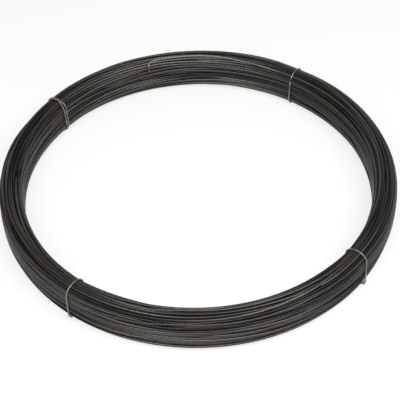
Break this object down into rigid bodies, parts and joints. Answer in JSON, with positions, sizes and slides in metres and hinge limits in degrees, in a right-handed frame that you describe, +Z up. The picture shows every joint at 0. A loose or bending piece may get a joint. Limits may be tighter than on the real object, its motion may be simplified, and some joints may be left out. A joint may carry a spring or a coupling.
{
  "type": "coil of wire rod",
  "caption": "Compact ring coil of dark steel wire rod lying flat, with twisted wire ties round the bundle and one loose rod end hooked over the top.",
  "frame": {"origin": "on the coil's axis, on the floor that the coil lies on", "axes": "+Z up along the coil's axis; the picture looks along +Y from above, with +X to the right"},
  "size_m": [0.825, 0.825, 0.0932],
  "materials": {
    "dark_steel_rod": "dark mill scale, dull sheen, slight rust",
    "tie_wire": "dull grey annealed wire"
  },
  "bodies": {
    "root": {"wire_coil": "dark_steel_rod", "tie_wire_right_back": "tie_wire", "tie_wire_left_back": "tie_wire", "tie_wire_left_front": "tie_wire", "tie_wire_right_front": "tie_wire"}
  },
  "joints": []
}
